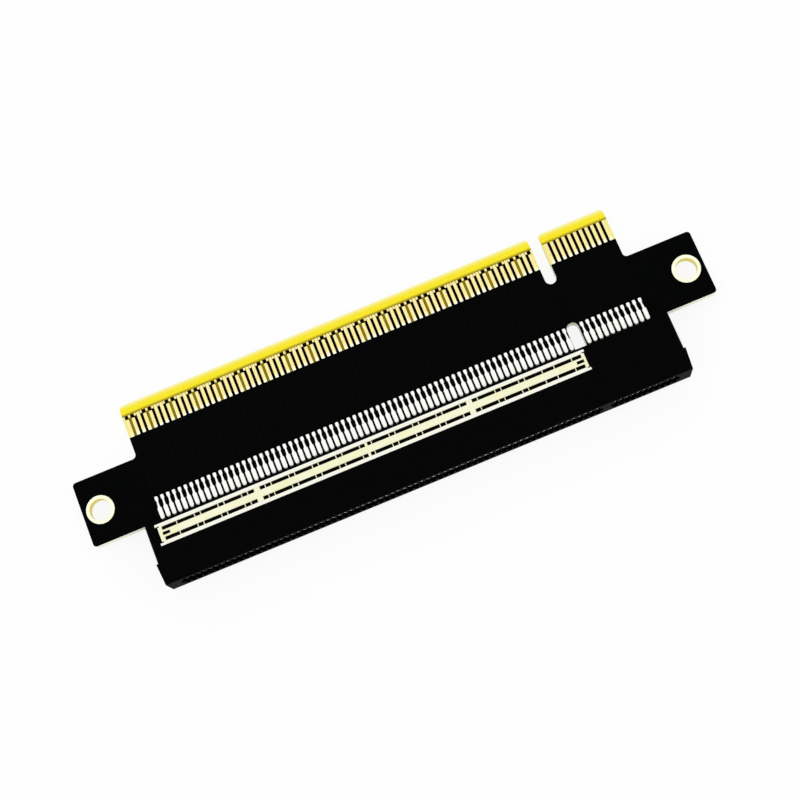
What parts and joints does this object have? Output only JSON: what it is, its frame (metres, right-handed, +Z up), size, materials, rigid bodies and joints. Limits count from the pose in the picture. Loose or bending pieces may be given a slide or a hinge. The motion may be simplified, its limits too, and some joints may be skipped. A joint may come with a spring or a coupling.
{
  "type": "pcie riser card",
  "caption": "Flat extension card with a bevelled, notched finger edge, a keyed straddle-mount card slot on the opposite edge and a screw ear at each end.",
  "frame": {"origin": "middle of the footprint, at the lowest face, with the card lying on its back face", "axes": "+X along the card towards the key notch, +Y towards the gold finger edge, +Z up through the front (side B) of the board"},
  "size_m": [0.1068, 0.0306, 0.0063],
  "materials": {
    "solder_mask": "glossy black solder mask on glass-epoxy laminate",
    "housing_plastic": "matt black moulded liquid-crystal polymer",
    "gold": "gold plating over nickel and copper",
    "tin": "bright tin over copper alloy",
    "bar_metal": "pale plated stamped strip"
  },
  "bodies": {
    "root": {"circuit_board": "solder_mask", "slot_housing": "housing_plastic", "left_hole_plating": "gold", "right_hole_plating": "gold", "front_ground_bar": "bar_metal", "back_ground_bar": "bar_metal", "front_utility_fingers": "gold", "front_utility_contacts": "tin", "front_ground_fingers": "gold", "front_ground_contacts": "tin", "front_signal_fingers": "gold", "front_signal_contacts": "tin", "back_utility_fingers": "gold", "back_utility_contacts": "tin", "back_ground_fingers": "gold", "back_ground_contacts": "tin", "back_signal_fingers": "gold", "back_signal_contacts": "tin"}
  },
  "joints": []
}
